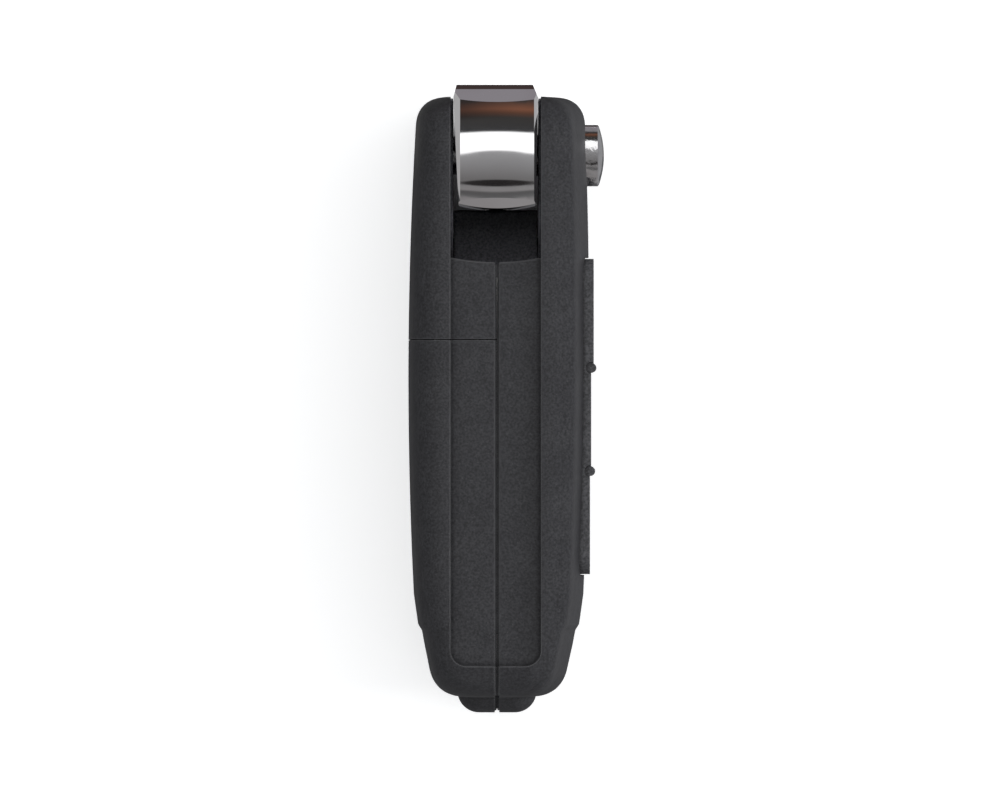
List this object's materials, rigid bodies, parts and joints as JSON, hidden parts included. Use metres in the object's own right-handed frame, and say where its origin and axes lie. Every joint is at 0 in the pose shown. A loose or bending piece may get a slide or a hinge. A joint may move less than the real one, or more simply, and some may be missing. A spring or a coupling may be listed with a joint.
{
  "type": "flip remote key",
  "caption": "Folding remote car key: slim black case with a chrome head that swings out a steel blade, domed release button, button pad, battery cover and key ring lug.",
  "frame": {"origin": "centre of the bounding box's base, on the narrow side that the folded key rests on", "axes": "+X towards the button face, +Y towards the chrome head, +Z towards the narrow side opposite the folded blade"},
  "size_m": [0.0244, 0.0784, 0.037],
  "materials": {
    "case_plastic": "fine-grained satin black",
    "frame_plastic": "plain moulded black",
    "collar_plastic": "plain moulded black",
    "board": "green solder mask",
    "pad_rubber": "soft matt black",
    "button_rubber": "soft matt black",
    "switch_plastic": "plain",
    "chip": "moulded",
    "steel": "bright turned steel",
    "plate_steel": "blackened steel",
    "contact_metal": "plated spring strip",
    "capsule_glass": "glossy black",
    "bright_chrome": "polished chrome plate",
    "blade_steel": "nickel-plated, fine brushed",
    "spring_steel": "drawn wire"
  },
  "bodies": {
    "root": {"front_shell": "case_plastic", "rear_head_cover": "case_plastic", "inner_frame": "frame_plastic", "circuit_board": "board", "button_pad": "pad_rubber", "lock_switch": "switch_plastic", "unlock_switch": "switch_plastic", "boot_switch": "switch_plastic", "microcontroller": "chip", "quartz_crystal": "steel", "aerial_coil": "chip", "coin_cell": "steel", "battery_contact_positive": "contact_metal", "battery_contact_negative": "contact_metal", "transponder_capsule": "capsule_glass", "head_screw": "steel", "tail_screw": "steel", "front_plate": "plate_steel", "rear_plate": "plate_steel", "pivot_shaft": "steel", "flip_spring": "spring_steel", "release_spring": "spring_steel"},
    "flip_head": {"blade_carrier": "bright_chrome", "blade_collar": "collar_plastic", "key_blade": "blade_steel", "blade_pin": "steel"},
    "release": {"release_button": "bright_chrome", "release_plunger": "steel"},
    "lock": {"lock_button": "button_rubber", "lock_switch_stem": "switch_plastic"},
    "unlock": {"unlock_button": "button_rubber", "unlock_switch_stem": "switch_plastic"},
    "boot": {"boot_button": "button_rubber", "boot_switch_stem": "switch_plastic"},
    "rear_cover": {"battery_cover": "case_plastic"}
  },
  "joints": [
    {"name": "blade_swing", "type": "hinge", "parent": "root", "child": "flip_head", "pos_m": [-0.00115, 0.03055, 0.0185], "axis": [1, 0, 0], "range_deg": [0, 180], "deforming": ["flip_spring"]},
    {"name": "release_press", "type": "slide", "parent": "root", "child": "release", "axis": [-1, 0, 0], "range_m": [0, 0.0015], "stiffness_N_per_m": 600, "springref_m": -0.002, "deforming": ["release_spring"]},
    {"name": "lock_press", "type": "slide", "parent": "root", "child": "lock", "axis": [-1, 0, 0], "range_m": [0, 0.00035], "stiffness_N_per_m": 1500, "springref_m": -0.0004},
    {"name": "unlock_press", "type": "slide", "parent": "root", "child": "unlock", "axis": [-1, 0, 0], "range_m": [0, 0.00035], "stiffness_N_per_m": 1500, "springref_m": -0.0004},
    {"name": "boot_press", "type": "slide", "parent": "root", "child": "boot", "axis": [-1, 0, 0], "range_m": [0, 0.00035], "stiffness_N_per_m": 1500, "springref_m": -0.0004},
    {"name": "battery_cover_lift", "type": "slide", "parent": "root", "child": "rear_cover", "axis": [-1, 0, 0], "range_m": [0, 0.03]}
  ]
}
